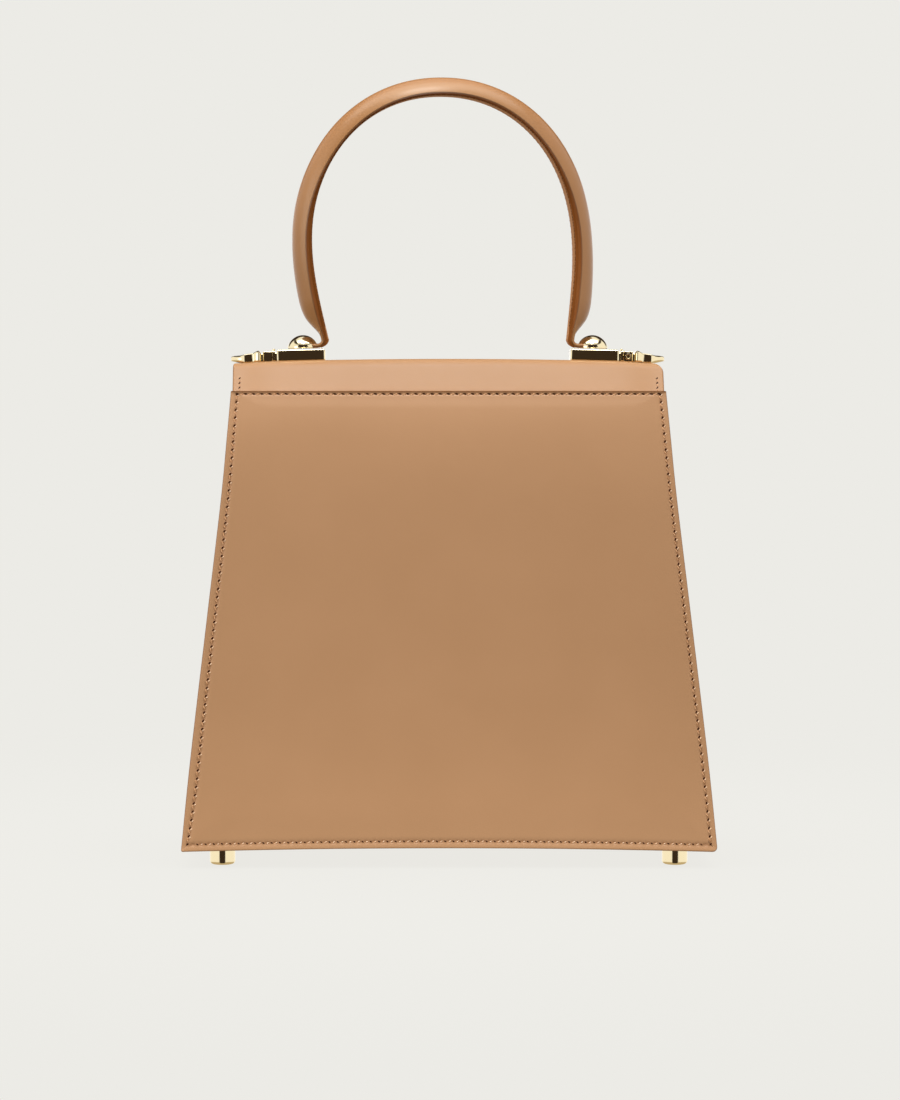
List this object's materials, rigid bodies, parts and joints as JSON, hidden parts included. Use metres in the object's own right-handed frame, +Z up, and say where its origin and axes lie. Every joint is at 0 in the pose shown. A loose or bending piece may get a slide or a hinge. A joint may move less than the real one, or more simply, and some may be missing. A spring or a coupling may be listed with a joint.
{
  "type": "handbag",
  "caption": "Structured trapezoid leather handbag with a flap, a round top handle held by domed studs on metal end bars, a clasp plate and metal feet.",
  "frame": {"origin": "centre of the bounding box at floor height, under the feet", "axes": "+Z up, -Y towards the plain back, +Y towards the side that the flap closes on, +X to the right seen from the back"},
  "size_m": [0.221, 0.092, 0.3268],
  "materials": {
    "tan_leather": "smooth satin calfskin",
    "brown_leather": "smooth calfskin strip, darker at its cut edge",
    "gold_metal": "polished pale gold plating",
    "tan_thread": "waxed tonal thread"
  },
  "bodies": {
    "root": {"back_panel": "tan_leather", "front_panel": "tan_leather", "base_panel": "tan_leather", "gusset_left": "tan_leather", "gusset_right": "tan_leather", "flap": "tan_leather", "handle": "tan_leather", "handle_lining": "brown_leather", "end_bar_left": "gold_metal", "end_bar_right": "gold_metal", "dome_stud_left": "gold_metal", "dome_stud_right": "gold_metal", "foot_back_left": "gold_metal", "foot_back_right": "gold_metal", "foot_front_left": "gold_metal", "foot_front_right": "gold_metal", "clasp": "gold_metal"}
  },
  "joints": []
}
